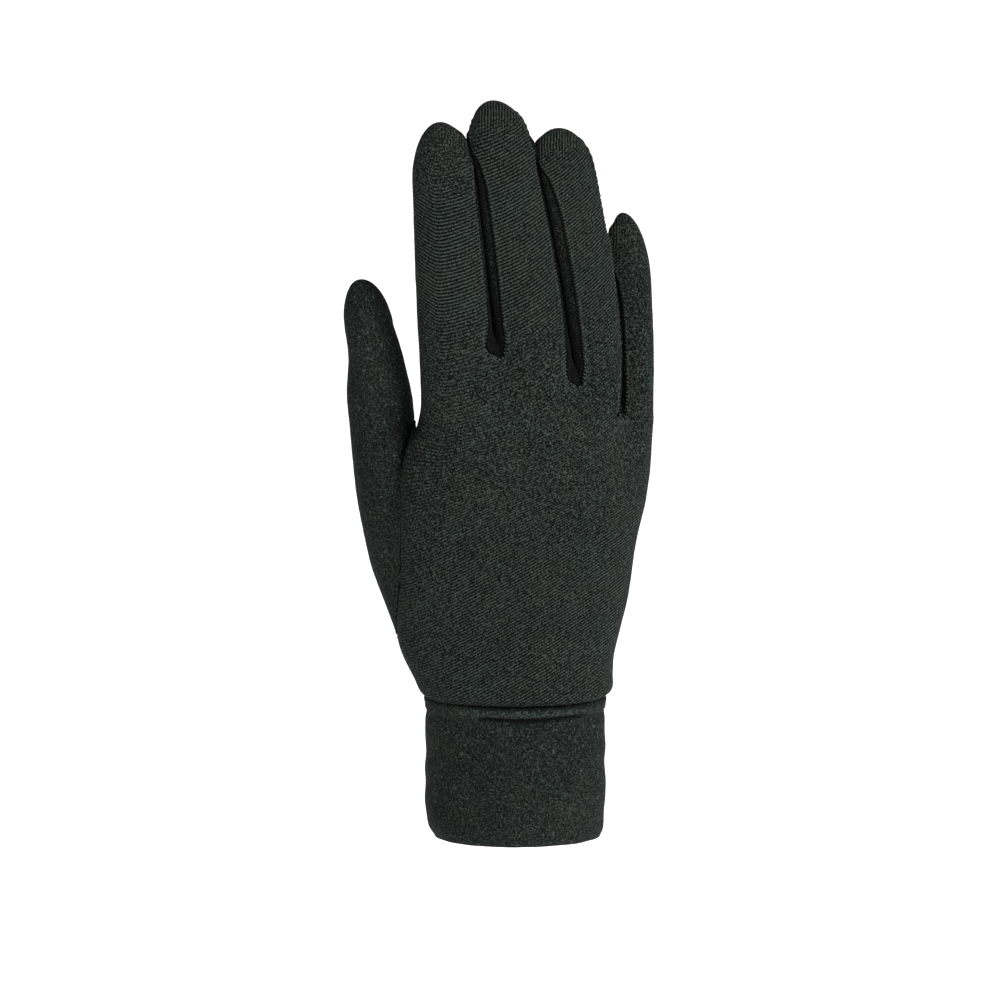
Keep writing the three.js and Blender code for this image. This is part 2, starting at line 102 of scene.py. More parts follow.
# The hand's outline from the wrist seam (0) to the knuckle line (1)
HAND_OUTLINE = table(
    "at left left_up right right_up",
    (0.00, -0.3730, 0.0000, 0.3710, 0.000),
    (0.04, -0.4000, 0.0250, 0.4000, 0.020),
    (0.20, -0.4875, 0.1740, 0.4145, 0.124),
    (0.40, -0.4860, 0.3800, 0.4710, 0.291),
    (0.60, -0.4790, 0.5940, 0.5080, 0.457),
    (0.74, -0.4580, 0.7480, 0.5460, 0.573),
    (0.80, -0.4167, 0.8166, 0.5540, 0.615),
    (0.87, -0.3960, 0.9040, 0.5625, 0.670),
    (1.00, -0.4145, 1.1750, 0.5750, 0.825),
)
HAND_SECTIONS = table(
    "at back palm drop box",
    (0.00, 0.710, 0.710, 0.00, 2.10),
    (0.04, 0.730, 0.740, 0.03, 2.15),
    (0.20, 0.660, 0.740, 0.20, 2.25),
    (0.40, 0.580, 0.680, 0.45, 2.35),
    (0.60, 0.520, 0.600, 0.70, 2.45),
    (0.80, 0.465, 0.495, 0.90, 2.52),
    (1.00, 0.420, 0.420, 1.00, 2.60),
)
HOLE_LOW, HOLE_HIGH = 0.2, 0.8
FOOT_BLEND = 0.3
# How far a seam has moved round its finger, above the slot's end (0) towards the tip's start (1)
SEAM_TURN = table("up share", (0, 0), (0.03, 0.156), (0.08, 0.5), (0.18, 0.844), (0.36, 1), (1, 1))
THUMB_SECTIONS = table(
    "place inner_out inner_up outer_out outer_up behind depth",
    (1, 0.010, 0.010, 0.670, -0.700, 0.56, 1.28),
    (2, 0.010, 0.035, 0.883, -0.370, 0.58, 1.26),
    (3, 0.020, 0.085, 0.974, -0.100, 0.56, 1.12),
    (4, 0.061, 0.235, 1.035, 0.181, 0.56, 1.00),
    (5, 0.190, 0.4855, 1.020, 0.470, 0.58, 0.88),
    (6, 0.320, 0.683, 1.065, 0.672, 0.62, 0.78),
)
THUMB_TIP = {"out": 0.822, "up": 1.0, "behind": 0.66}
CUFF_SECTIONS = table(
    "down swell",
    (0.000, 0.0),
    (0.020, 0.85),
    (0.045, 1.0),
    (0.075, 0.4),
    (0.100, -0.3),
    (0.160, 0.0),
    (0.400, 0.1),
    (0.700, 0.2),
    (0.940, -0.7),
    (1.000, -1.8),
)

# How finely the cloth is divided
STRIP_COLUMNS = 36
LOW_ROWS, HOLE_ROWS, HIGH_ROWS = 34, 84, 44
RISE_ROWS, TIP_ROWS = 104, 22
FOURCHETTE_COLUMNS = 14
CUFF_COLUMNS, CUFF_ROWS = 240, 74
THUMB_ROWS, THUMB_TIP_ROWS = 100, 26
STRIP_GATHER, SIDE_STRIP_GATHER = 0.72, 0.5  # how much closer together columns lie near the seams
LOW_GATHER, RISE_GATHER = 1.3, 1.2  # how much closer together rows lie at the wrist and at a slot's end

# The thickness of the visible cloth
CLOTH = 0.8
CUFF_CLOTH = 1.8
SEAM_CLEAR = 0.05  # between two sewn edges


def smooth(value):
    value = np.clip(value, 0, 1)
    return value * value * (3 - 2 * value)


def lerp(low, high, share):
    return low + (high - low) * share


def signed_power(value, power):
    return np.sign(value) * np.abs(value) ** power


def bell(value, width):
    """1 at 0, falling off to both sides."""
    return np.exp(-((value / width) ** 2))


def value_at(rows, key, column, place):
    """A smooth value of one column of a table at places between its rows."""
    x, y = rows[key], rows[column]
    wide_x = np.concatenate([x[:1], x, x[-1:]])
    wide_y = np.concatenate([y[:1], y, y[-1:]])
    slope = (wide_y[2:] - wide_y[:-2]) / (wide_x[2:] - wide_x[:-2])
    i = np.clip(np.searchsorted(x, place, side="right") - 1, 0, len(x) - 2)
    span = x[i + 1] - x[i]
    s = np.clip((place - x[i]) / span, 0, 1)
    low = y[i] * (1 + 2 * s) * (1 - s) ** 2 + slope[i] * span * s * (1 - s) ** 2
    return low + y[i + 1] * s * s * (3 - 2 * s) - slope[i + 1] * span * s * s * (1 - s)


def unit(vectors):
    length = np.linalg.norm(vectors, axis=-1, keepdims=True)
    return vectors / np.maximum(length, 1e-9)


def vector(x, y, z):
    return np.stack(np.broadcast_arrays(*(np.asarray(v, float) for v in (x, y, z))), axis=-1)


# The hand

def hand_point(at, across, side):
    """Points on the hand between the wrist seam (at 0) and the knuckle line (at 1), across from -1 to 1."""
    ends = []
    for end in ("left", "right"):
        x = value_at(HAND_OUTLINE, "at", end, at) * HAND_WIDTH
        z = CUFF_LENGTH + value_at(HAND_OUTLINE, "at", end + "_up", at) * HAND_LENGTH
        ends.append(vector(x, 0, z))
    half, middle = (ends[1] - ends[0]) / 2, (ends[0] + ends[1]) / 2
    box = value_at(HAND_SECTIONS, "at", "box", at)
    depth = value_at(HAND_SECTIONS, "at", "back" if side == BACK else "palm", at) * HAND_DEPTH
    bulge = np.maximum(0, 1 - np.abs(across) ** box) ** (1 / box)
    fall = value_at(HAND_SECTIONS, "at", "drop", at) * ARCH_DROP * np.maximum(0, (across + 0.1) / 1.1) ** 2.5
    point = middle + half * np.asarray(across)[..., None]
    point[..., 1] = side * depth * bulge + fall
    return point


def knuckle(k):
    across, up = KNUCKLE_LINE["across"][k], KNUCKLE_LINE["up"][k]
    return np.array([across * HAND_WIDTH, 0, CUFF_LENGTH + up * HAND_LENGTH])


# The fingers

def finger_of(i):
    """One finger's sizes in millimetres, with its foot and directions."""
    row = {name: column[i] for name, column in FINGERS.items()}
    length = row["length"] * FINGER_LENGTH
    lean = math.asin(row["aside"] * HAND_WIDTH / length)
    ends = [knuckle(i), knuckle(i + 1)]
    foot = (ends[0] + ends[1]) / 2
    return {
        "length": length,
        "width": row["width"] * HAND_WIDTH,
        "tip_width": row["tip_width"] * HAND_WIDTH,
        "depth": row["depth"] * HAND_DEPTH,
        "tip_depth": row["tip_depth"] * HAND_DEPTH,
        "box": row["box"],
        "tip_start": 1 - row["tip"] * FINGER_LENGTH / length,
        "foot": foot + np.array([row["shift"] * HAND_WIDTH, row["behind"] * HAND_DEPTH, 0]),
        "along": np.array([math.sin(lean), 0, math.cos(lean)]),
        "aside": np.array([math.cos(lean), 0, -math.sin(lean)]),
        "bow": row["bow"] * HAND_WIDTH,
        "bow_at": row["bow_at"],
        "curl": row["curl"] * HAND_DEPTH,
        "roll": math.radians(row["roll"]),
        "slot_rise": [(end[2] - foot[2]) / length for end in ends],
        "has_seam": (i > 0, i < SLOT_COUNT),
    }


fingers = [finger_of(i) for i in range(FINGER_COUNT)]


def finger_point(finger, rise, angle):
    """Points on a finger: rise is 0 at its foot and 1 at its tip, angle 0 at its back and 90 at its right."""
    rise, angle = np.broadcast_arrays(np.asarray(rise, float), np.radians(angle))
    up = np.maximum(rise, 0)
    cap_rise = np.maximum(0, (rise - finger["tip_start"]) / (1 - finger["tip_start"]))
    cap = np.sqrt(np.maximum(0, 1 - cap_rise**2))
    width = lerp(finger["width"], finger["tip_width"], up) / 2
    depth = lerp(finger["depth"], finger["tip_depth"], smooth(up * 1.6)) / 2
    box = lerp(finger["box"], 2.3, smooth(rise * finger["length"] / FOOT_ROUND))
    side = width * cap * signed_power(np.sin(angle), 2 / box)
    front = -depth * cap * signed_power(np.cos(angle), 2 / box)
    roll = finger["roll"] * smooth(up * 4 + 0.3)
    power = finger["bow_at"] / (1 - finger["bow_at"])
    bow = (up / finger["bow_at"]) ** power * ((1 - up) / (1 - finger["bow_at"]))
    out = side * np.cos(roll) - front * np.sin(roll) + finger["bow"] * bow
    point = finger["foot"] + (rise * finger["length"])[..., None] * finger["along"]
    point = point + out[..., None] * finger["aside"]
    point[..., 1] += front * np.cos(roll) + side * np.sin(roll) + finger["curl"] * up * up
    return point


def rise_of(finger, start, up):
    """The rise at a place above a slot: up is 0 at its end, 1 where the tip starts and 2 at the tip."""
    return np.where(
        up <= 1,
        lerp(start, finger["tip_start"], np.minimum(up, 1)),
        lerp(finger["tip_start"], 1, np.sin(np.clip(up - 1, 0, 1) * np.pi / 2)),
    )


def seam_angle(finger, edge, side, up):
    """The angle of the seam on the left (edge 0) or right of a finger, on its back or palm."""
    sign = 1 if edge else -1
    if not finger["has_seam"][edge]:
        return np.full_like(np.asarray(up, float), sign * 90)
    full = np.full_like(np.asarray(up, float), PALM_SEAM)
    if side == BACK:
        turned = BACK_SEAM_RIGHT if edge else BACK_SEAM_LEFT
        full = lerp(SLOT_SEAM, turned, value_at(SEAM_TURN, "up", "share", up))
    closing = smooth((np.asarray(up) - 0.8) / 0.7)
    angle = lerp(full, 90, closing)
    return sign * (angle if side == BACK else 180 - angle)


def slot_end(finger, edge, share):
    """Where a slot ends on a finger's edge, on the back (share 0), the palm (1) or between."""
    start = finger["slot_rise"][edge]
    if not finger["has_seam"][edge]:
        return start
    rise = 2 * share * (1 - share) * (2 * WEB_RISE - PALM_SLOT_RISE) + share * PALM_SLOT_RISE
    return start + rise / finger["length"]


def side_point(finger, edge, up, share):
    """Points of the strip between two fingers, on one of them."""
    angle = lerp(seam_angle(finger, edge, BACK, up), seam_angle(finger, edge, PALM, up), share)
    return finger_point(finger, rise_of(finger, slot_end(finger, edge, share), up), angle)


def web_point(i, share):
    left = side_point(fingers[i], 1, np.zeros_like(share), share)
    return (left + side_point(fingers[i + 1], 0, np.zeros_like(share), share)) / 2


def strip_angles(finger, side, up):
    start, end = (seam_angle(finger, edge, side, up) for edge in (0, 1))
    return (np.where(start <= 0, start + 360, start), end) if side == PALM else (start, end)


def strip_point(i, up, column, side):
    """Points of a finger's strip on the back or palm; column runs from 0 to 1."""
    finger, share = fingers[i], 0.0 if side == BACK else 1.0
    rises = [rise_of(finger, slot_end(finger, edge, share), up) for edge in (0, 1)]
    start, end = strip_angles(finger, side, up)
    point = finger_point(finger, lerp(rises[0], rises[1], column), lerp(start, end, column))
    low = np.isclose(up, 0)
    for edge, web, angle in ((0, i - 1, start), (1, i, end)):
        if finger["has_seam"][edge]:
            own = finger_point(finger, rises[edge], angle)
            near = np.where(low, smooth(1 - np.abs(column - edge) * 3), 0)
            point = point + (web_point(web, np.asarray(share)) - own) * near[..., None]
    return point


def across_at(i, column, side):
    """How far across the hand a column of a finger's strip lies at the knuckle line, from -1 to 1."""
    line = KNUCKLE_LINE["across"]
    ends = [2 * (line[k] - line[0]) / (line[-1] - line[0]) - 1 for k in (i, i + 1)]
    start, end = strip_angles(fingers[i], side, np.array(0.0))
    sine = [np.sin(np.radians(lerp(start, end, share))) for share in (0, column, 1)]
    return lerp(ends[0], ends[1], (sine[1] - sine[0]) / (sine[2] - sine[0]))


HOLE_MIDDLE, HOLE_HALF = (HOLE_LOW + HOLE_HIGH) / 2, (HOLE_HIGH - HOLE_LOW) / 2


def hole_edge(turn, side):
    spread = math.radians(THUMB_SEAM_BACK if side == BACK else THUMB_SEAM_PALM)
    return -np.cos(spread * np.abs(np.sin(turn)))


def hand_panel_point(i, at, column, side):
    """Points of the hand's back or palm below finger i, blended into its foot near the knuckle line."""
    foot = across_at(i, column, side)
    across = foot + np.zeros_like(at)
    if i == 0:
        turn = np.arccos(np.clip((at - HOLE_MIDDLE) / HOLE_HALF, -1, 1))
        left_end, inner = hole_edge(turn, side), across_at(0, np.array(1.0), side)
        across = lerp(inner, left_end, (inner - foot) / (inner + 1))
    near = smooth((at - 1 + FOOT_BLEND) / FOOT_BLEND) ** 1.6
    shift = strip_point(i, np.zeros_like(column), column, side) - hand_point(np.ones_like(column), foot, side)
    return hand_point(at, across, side) + shift * near[..., None]


# Meshes made of grids of indexed points

def quads(index):
    """The faces of a grid of point numbers; quads that have lost a corner become triangles."""
    corners = np.stack([index[:-1, :-1], index[:-1, 1:], index[1:, 1:], index[1:, :-1]], axis=-1)
    faces = []
    for face in corners.reshape(-1, 4).tolist():
        kept = [v for k, v in enumerate(face) if v != face[k - 1]]
        if len(kept) > 2:
            faces.append(kept)
    return faces


def normals_of(points, faces):
    total = np.zeros_like(points)
    for size in (3, 4):
        group = np.array([face for face in faces if len(face) == size])
        if len(group):
            first = points[group[:, 2]] - points[group[:, 0]]
            second = points[group[:, -1]] - points[group[:, 1]]
            normal = np.cross(first, second)
            for corner in range(size):
                np.add.at(total, group[:, corner], normal)
    return unit(total)


def open_edges(faces):
    edges = {(a, b) for face in faces for a, b in zip(face, face[1:] + face[:1])}
    return [(a, b) for a, b in edges if (b, a) not in edges]


def relax(points, faces, weight, rounds):
    """Moves each point towards the middle of its neighbours, by its weight; the sheet's own edges stay."""
    pairs = np.array([(a, b) for face in faces for a, b in zip(face, face[1:] + face[:1])])
    pairs = np.unique(np.sort(pairs, axis=1), axis=0)
    held = np.unique(np.array(open_edges(faces)))
    weight = weight.copy()
    weight[held] = 0
    count = np.zeros(len(points))
    np.add.at(count, pairs.ravel(), 1)
    weight[count == 0] = 0
    count = np.maximum(count, 1)
    for _ in range(rounds):
        total = np.zeros_like(points)
        np.add.at(total, pairs[:, 0], points[pairs[:, 1]])
        np.add.at(total, pairs[:, 1], points[pairs[:, 0]])
        points = points + (total / count[:, None] - points) * weight[:, None] * 0.5
    return points


def mesh_piece(name, points, faces, attributes, materials):
    """A Blender object from points in millimetres."""
    mesh = bpy.data.meshes.new(name)
    mesh.from_pydata((points * MM).tolist(), [], faces)
    for key, values in attributes.items():
        layer = mesh.attributes.new(key, "FLOAT", "POINT")
        layer.data.foreach_set("value", np.asarray(values, np.float32))
    mesh.polygons.foreach_set("use_smooth", [True] * len(mesh.polygons))
    for material in materials:
        mesh.materials.append(material)
    mesh.validate()
    piece = bpy.data.objects.new(name, mesh)
    bpy.context.scene.collection.objects.link(piece)
    return piece


def cloth_piece(name, points, faces, thickness, attributes, material):
    """A closed sheet: the outer surface, the same surface set in by the cloth's thickness, and its edges."""
    count = len(points)
    inner = points - normals_of(points, faces) * thickness
    shell = faces + [[v + count for v in reversed(face)] for face in faces]
    shell += [[b, a, a + count, b + count] for a, b in open_edges(faces)]
    both = {key: np.concatenate([values, values]) for key, values in attributes.items()}
    return mesh_piece(name, np.concatenate([points, inner]), shell, both, [material])


def ripple(points, length, seed):
    """A smooth random field between about -1 and 1, with bumps of about that length."""
    random = np.random.default_rng(seed)
    value = 0
    for _ in range(7):
        way = unit(random.normal(size=3)) / length * random.uniform(0.7, 1.5)
        value = value + np.sin(points @ way * 2 * np.pi + random.uniform(0, 2 * np.pi))
    return value / 4


# Where neighbouring fingers press against each other

CONTACT_CLEAR = 0.06
CONTACT_REACH = 3.4  # how far round a finger the pressed side reaches
CONTACT_PRESS = 0.9
CONTACT_SOFT = 0.1
CONTACT_SLANT = 0.3  # the pressed faces slant, so that no light passes between two fingers
CONTACT_GAP = (8, 10)  # fingers that stand further apart than this aren't drawn together
CONTACT_DEPTH = 4.5  # where a gap is wide, only the middle of the fingers' depth is drawn together


def contact_of(i):
    """The line along which finger i and the next one meet: heights, middles and gaps."""
    lines = []
    for finger, angle in ((fingers[i], 90), (fingers[i + 1], -90)):
        points = finger_point(finger, np.linspace(-0.2, 1, 200), angle)
        lines.append(points)
    low = max(line[0, 2] for line in lines)
    high = min(line[-1, 2] for line in lines)
    heights = np.linspace(low, high, 160)
    sides = [np.interp(heights, line[:, 2], line[:, 0]) for line in lines]
    depths = [np.interp(heights, line[:, 2], line[:, 1]) for line in lines]
    web = web_point(i, np.array(0.5))[2]
    return {
        "z": heights,
        "x": (sides[0] + sides[1]) / 2,
        "y": (depths[0] + depths[1]) / 2,
        "gap": sides[1] - sides[0],
        "web": web,
    }


contacts = [contact_of(i) for i in range(len(fingers) - 1)]


def press(points, i):
    """Draws a finger's sides to its neighbours' and flattens them there."""
    points = points.copy()
    for contact, sign in ((i, 1), (i - 1, -1)):
        if not 0 <= contact < len(contacts):
            continue
        line = contacts[contact]
        z = points[:, 2]
        middle = np.interp(z, line["z"], line["x"])
        gap = np.interp(z, line["z"], line["gap"])
        depth = np.interp(z, line["z"], line["y"])
        strength = smooth((CONTACT_GAP[1] - gap) / (CONTACT_GAP[1] - CONTACT_GAP[0]))
        strength = strength * smooth((z - line["web"] + 3) / 4) * smooth((line["z"][-1] - z) / 6)
        face = middle - CONTACT_SLANT * (points[:, 1] - depth)
        inside = bell(points[:, 1] - depth, CONTACT_DEPTH)
        strength = strength * lerp(1, inside, smooth((gap - 1.2) / 1.6))
        away = (face - points[:, 0]) * sign
        reach = bell(np.maximum(away - gap / 2, 0), CONTACT_REACH)
        moved = away - (gap / 2 + CONTACT_PRESS) * reach * strength
        pressed = CONTACT_CLEAR + CONTACT_SOFT * np.logaddexp(0, (moved - CONTACT_CLEAR) / CONTACT_SOFT)
        away = lerp(away, pressed, strength)
        points[:, 0] = face - away * sign
    return points


# The trank: the hand's back or palm with its four finger strips

FAR = 99.0  # the distance given to points that lie along no seam
SEAM_TOP = 1.5  # where the seams on a finger's side have come together, as a place above a slot

def spread_columns(count, gather):
    """Shares from 0 to 1 that lie closer together near both ends."""
    t = np.linspace(0, 1, count + 1)
    return t - gather * np.sin(2 * np.pi * t) / (2 * np.pi)


def rows_above_slot(tip_share):
    """Places from a slot's end (0) to where the tip starts (1), and on over a share of the tip."""
    rise = np.linspace(0, 1, RISE_ROWS + 1)[1:] ** RISE_GATHER
    tip = 1 + np.linspace(0, tip_share, int(TIP_ROWS * tip_share) + 1)[1:]
    return np.concatenate([rise, tip])


def trank(side):
    """The points of half the trank, its faces, and what each point knows about its place."""
    n = STRIP_COLUMNS
    columns = spread_columns(n, STRIP_GATHER)
    low = HOLE_LOW * np.linspace(0, 1, LOW_ROWS + 1)[:-1] ** LOW_GATHER
    hole = HOLE_MIDDLE - HOLE_HALF * np.cos(np.linspace(0, np.pi, HOLE_ROWS + 1))
    high = lerp(HOLE_HIGH, 1, np.linspace(0, 1, HIGH_ROWS + 1)[1:])
    at = np.concatenate([low, hole, high])
    ups = rows_above_slot(1)
    hand_rows, hand_columns = len(at), FINGER_COUNT * n + 1
    hand_index = np.arange(hand_rows * hand_columns).reshape(hand_rows, hand_columns)
    hand = np.zeros((hand_rows, hand_columns, 3))
    all_at, all_columns = at[:, None] + 0 * columns, columns + 0 * at[:, None]
    for i in range(FINGER_COUNT):
        hand[:, i * n:(i + 1) * n + 1] = hand_panel_point(i, all_at, all_columns, side)
    points, grids = [hand.reshape(-1, 3)], [hand_index]
    whose = [np.full(hand.shape[0] * hand.shape[1], -1)]
    slot_ends = [web_point(i, np.asarray(0.0 if side == BACK else 1.0)) for i in range(SLOT_COUNT)]
    seam = [np.min([np.linalg.norm(points[0] - end, axis=1) for end in slot_ends], axis=0)]
    ups_all = [np.repeat(at - 1, hand_columns)]
    total = hand_index.size
    for i in range(FINGER_COUNT):
        strip = strip_point(i, ups[:, None] + 0 * columns, columns + 0 * ups[:, None], side)
        index = total + np.arange(strip.shape[0] * (n + 1)).reshape(strip.shape[0], n + 1)
        index[-1] = index[-1, 0]
        strip[-1] = strip[-1, 0]
        total += strip.shape[0] * (n + 1)
        points.append(strip.reshape(-1, 3))
        whose.append(np.full(strip.shape[0] * (n + 1), i))
        away = np.full(strip.shape[:2], FAR)
        for edge in (0, 1):
            if fingers[i]["has_seam"][edge]:
                gaps = np.linalg.norm(strip - strip[:, -1 if edge else 0][:, None], axis=-1)
                away = np.minimum(away, np.where((ups < SEAM_TOP)[:, None], gaps, FAR))
        seam.append(away.ravel())
        ups_all.append(np.repeat(ups, n + 1))
        foot = hand_index[-1, i * n:(i + 1) * n + 1]
        grids.append(np.concatenate([foot[None], index]))
    faces = [face for grid in grids for face in quads(grid)]
    if side == PALM:
        faces = [face[::-1] for face in faces]
    return np.concatenate(points), faces, {
        "whose": np.concatenate(whose),
        "seam": np.concatenate(seam),
        "up": np.concatenate(ups_all),
    }


# Ribs of the knit: they climb to the right on the hand, and to both sides of a line on the index finger
RIB_CHANGE = (112, 160)  # the heights between which the hand's ribs turn into the fingers'
RIB_AXIS = -25.5
RIB_AXIS_LEAN = -0.03
HAND_SLOPE = 0.52
FINGER_SLOPE, FINGER_CURVE = 0.22, 0.0053
RIB_PITCH = (1.07, 1.24)  # on the hand and on the fingers


def knit_attributes(points, strength, tip=0.0, shade=0.0):
    """What the materials read at each point: the ribs' phase and depth, the tips, and the painted shade and
    highlights of seams, creases and recesses.
    """
    x, z = points[:, 0], points[:, 2]
    high = smooth((z - RIB_CHANGE[0]) / (RIB_CHANGE[1] - RIB_CHANGE[0]))
    axis = RIB_AXIS + RIB_AXIS_LEAN * (z - RIB_CHANGE[1])
    aside = np.sqrt((x - axis) ** 2 + 1)
    right = FINGER_SLOPE * aside + FINGER_CURVE * aside**2
    left = FINGER_SLOPE + FINGER_CURVE + HAND_SLOPE * (aside - 1)
    rise = lerp(HAND_SLOPE * (x - axis), np.where(x > axis, right, left), high)
    phase = (z - RIB_CHANGE[1] - rise) / lerp(RIB_PITCH[0], RIB_PITCH[1], high)
    return {"rib": phase, "rib_depth": strength, "tip": tip + 0 * phase, "shade": shade + 0 * phase}


# Seam relief: the edges of two sewn pieces turn in, with a low roll beside them
SEAM_DIP, SEAM_DIP_WIDTH = 0.7, 0.5
SEAM_ROLL, SEAM_ROLL_AT, SEAM_ROLL_WIDTH = 0.34, 1.2, 0.6
PUCKER, PUCKER_LENGTH = 0.45, 2.6
# Painted shade in a seam's groove, and a painted highlight on the roll beside it
SEAM_SHADOW, SEAM_SHADOW_WIDTH = 0.55, 0.55
SEAM_HIGHLIGHT, SEAM_HIGHLIGHT_WIDTH = 0.3, 0.45


def seam_relief(away, along):
    """How far cloth stands out at a distance from a seam."""
    pucker = 1 + PUCKER * np.sin(along * 2 * np.pi / PUCKER_LENGTH)
    roll = SEAM_ROLL * pucker * bell(away - SEAM_ROLL_AT, SEAM_ROLL_WIDTH)
    return roll - SEAM_DIP * bell(away, SEAM_DIP_WIDTH)


def seam_shade_and_highlight(away):
    """Painted shade in a seam's groove (below 0) and a painted highlight on the roll beside it, at a distance
    from a seam.
    """
    groove_shadow = -SEAM_SHADOW * bell(away, SEAM_SHADOW_WIDTH)
    return groove_shadow + SEAM_HIGHLIGHT * bell(away - SEAM_ROLL_AT, SEAM_HIGHLIGHT_WIDTH)


WRIST_BLOUSE, BLOUSE_RISE, BLOUSE_WIDTH = 0.55, 3.2, 2.6  # the cloth's fullness above the wrist seam
# The depth of the wrist crease, and the painted shadow in it under the overhanging cloth, sharp and soft
WRIST_DIP, WRIST_SHADOW, WRIST_SOFT_SHADOW = 0.9, 0.45, 0.12
# Painted shadow in the crotch between thumb and hand
CROTCH_SHADOW, CROTCH_SHADOW_WIDTH = 0.6, 4.5
TIP_RIBS = (1.15, 1.6)  # where the slanting ribs give way to upright ones, as places above a slot
FEET_ROUNDS, CLOTH_ROUNDS = 120, 12  # rounds of evening out the fingers' feet, and all the cloth


def make_trank(side, name, material):
    points, faces, known = trank(side)
    whose, up = known["whose"], known["up"]
    near_feet = np.where(whose < 0, smooth((up + 0.34) / 0.2), smooth((0.3 - up) / 0.25))
    points = relax(points, faces, near_feet, FEET_ROUNDS)
    inside = smooth(known["seam"] / 1.5) * 0.25
    points = relax(points, faces, np.where(whose < 0, 0.2, inside), CLOTH_ROUNDS)
    for i in range(FINGER_COUNT):
        own = whose == i
        points[own] = press(points[own], i)
    normals = normals_of(points, faces)
    edges = np.unique(np.array(open_edges(faces)))
    held = np.zeros(len(points), bool)
    held[edges] = True
    relief = 0.16 * ripple(points, 26, 3) + 0.05 * ripple(points, 7, 4)
    relief = relief + seam_relief(known["seam"], points[:, 2])
    wrist = points[:, 2] - CUFF_LENGTH
    around = np.arctan2(points[:, 0], points[:, 1] * side)
    crease = wrist_crease(points, side)
    folds = 1 + 0.25 * np.sin(around * 17) + 0.2 * np.sin(around * 7 + 1)
    relief += WRIST_BLOUSE * bell(wrist - BLOUSE_RISE, BLOUSE_WIDTH) * folds * (0.4 + 0.6 * crease)
    relief -= WRIST_DIP * bell(wrist, 0.9) * crease
    open_side = held & (known["seam"] > 3) & (wrist > 1)
    points = points + normals * np.where(open_side, -0.25, relief)[:, None]
    points[open_side, 1] += side * SEAM_CLEAR / 2
    points[np.isclose(up, -1), 2] += SEAM_CLEAR
    tip = np.where(whose < 0, 0, smooth((up - TIP_RIBS[0]) / (TIP_RIBS[1] - TIP_RIBS[0])))
    # Painted shadow along the wrist crease, with the painted shade and highlight of the seams
    wrist_shadow = WRIST_SHADOW * bell(wrist, 0.45) + WRIST_SOFT_SHADOW * bell(wrist - 0.5, 1.2)
    shade = seam_shade_and_highlight(known["seam"]) - wrist_shadow * crease
    # Painted shadow in the thumb's crotch
    from_crotch = np.linalg.norm(points - hole_point(np.array(0.0)), axis=1)
    shade -= CROTCH_SHADOW * bell(from_crotch, CROTCH_SHADOW_WIDTH)
    knit = knit_attributes(points, rib_strength(points, normals), tip, shade)
    piece = cloth_piece(name, points, faces, CLOTH, knit, material)
    return piece, points, normals_of(points, faces)


def wrist_crease(points, side):
    """The crease at the wrist is deep on the back's middle and right, and faint on its left."""
    x = points[:, 0]
    deep = lerp(0.2, 1.0, smooth((x + 26) / 9)) * lerp(0.5, 1.0, smooth((30 - x) / 9))
    deep = deep * (0.72 + 0.28 * bell(x - 6, 12) + 0.12 * np.sin(x * 1.3) + 0.1 * np.sin(x * 2.9 + 1))
    return deep if side == BACK else np.full(len(points), 0.8)


LITTLE_SIDE = 34  # how far to the right the little finger starts


def rib_strength(points, normals):
    """The ribs are clear on three fingers, faint on the knuckles and stronger again above the wrist."""
    x, z = points[:, 0], points[:, 2]
    fingers_here = lerp(0.35, 1.0, smooth((z - 174) / 24))
    index_end = smooth((z - 226) / 12) * smooth((-12 - x) / 2)
    fingers_here = fingers_here * lerp(1.0, 0.3, index_end)
    hand_here = lerp(0.75, 0.35, smooth((z - 95) / 40)) * lerp(0.6, 1.0, smooth((x + 32) / 14))
    strength = np.maximum(fingers_here, hand_here)
    strength = strength * lerp(1.0, 0.15, smooth((x - LITTLE_SIDE) / 4) * smooth((z - 128) / 14))
    return strength * smooth(np.abs(normals[:, 1]) * 1.6)


def strip_grid(i):
    """The strip between fingers i and i + 1: up one side, over the web and up the other."""
    half = rows_above_slot(SEAM_TOP - 1)
    share = spread_columns(FOURCHETTE_COLUMNS, SIDE_STRIP_GATHER)
    shares = share + 0 * half[:, None]
    ups = half[:, None] + 0 * share
    left = side_point(fingers[i], 1, ups, shares)
    right = side_point(fingers[i + 1], 0, ups, shares)
    web = web_point(i, share)
    return left[::-1], web, right, share


def make_fourchette(i, name, material):
    left, web, right, share = strip_grid(i)
    legs = [press(leg.reshape(-1, 3), k).reshape(leg.shape) for leg, k in ((left, i), (right, i + 1))]
    grid = np.concatenate([legs[0], web[None], legs[1]])
    rows, columns = grid.shape[:2]
    index = np.arange(rows * columns).reshape(rows, columns)
    faces = [face[::-1] for face in quads(index)]
    points = grid.reshape(-1, 3)
    from_web = np.abs(np.arange(rows) - len(left))[:, None] + 0 * share.ravel()
    points = relax(points, faces, bell(from_web, 3).ravel() * 0.8, 4)
    normals = normals_of(points, faces)
    across = np.linalg.norm(np.diff(grid, axis=1), axis=-1)
    run = np.concatenate([np.zeros((rows, 1)), np.cumsum(across, axis=1)], axis=1)
    away = np.minimum(run, run[:, -1:] - run).ravel()
    set_back = 0.3 * smooth(away / 0.9) * (1 - bell(from_web.ravel(), 16))
    relief = -set_back - SEAM_DIP * bell(away, SEAM_DIP_WIDTH)
    points = points + normals * relief[:, None]
    # Painted shade: the seams' grooves at both edges, the recess down by the web, and the whole strip a
    # little darker
    shade = -0.5 * bell(away, 0.6) - 0.34 * bell(from_web.ravel(), 26) - 0.08
    attributes = knit_attributes(points, np.full(len(points), 0.2), shade=shade)
    return cloth_piece(name, points, faces, CLOTH, attributes, material)


# Stitches beside the seams of the slots

STITCH_STEP = 1.3
STITCH_LENGTH = 1.1
STITCH_THICK = 0.6
STITCH_OFFSET = 0.95  # from the seam
STITCH_SIDES = 6
STITCH_FULL = 10  # stitches are full-sized this near a slot's end, and drawn down further up


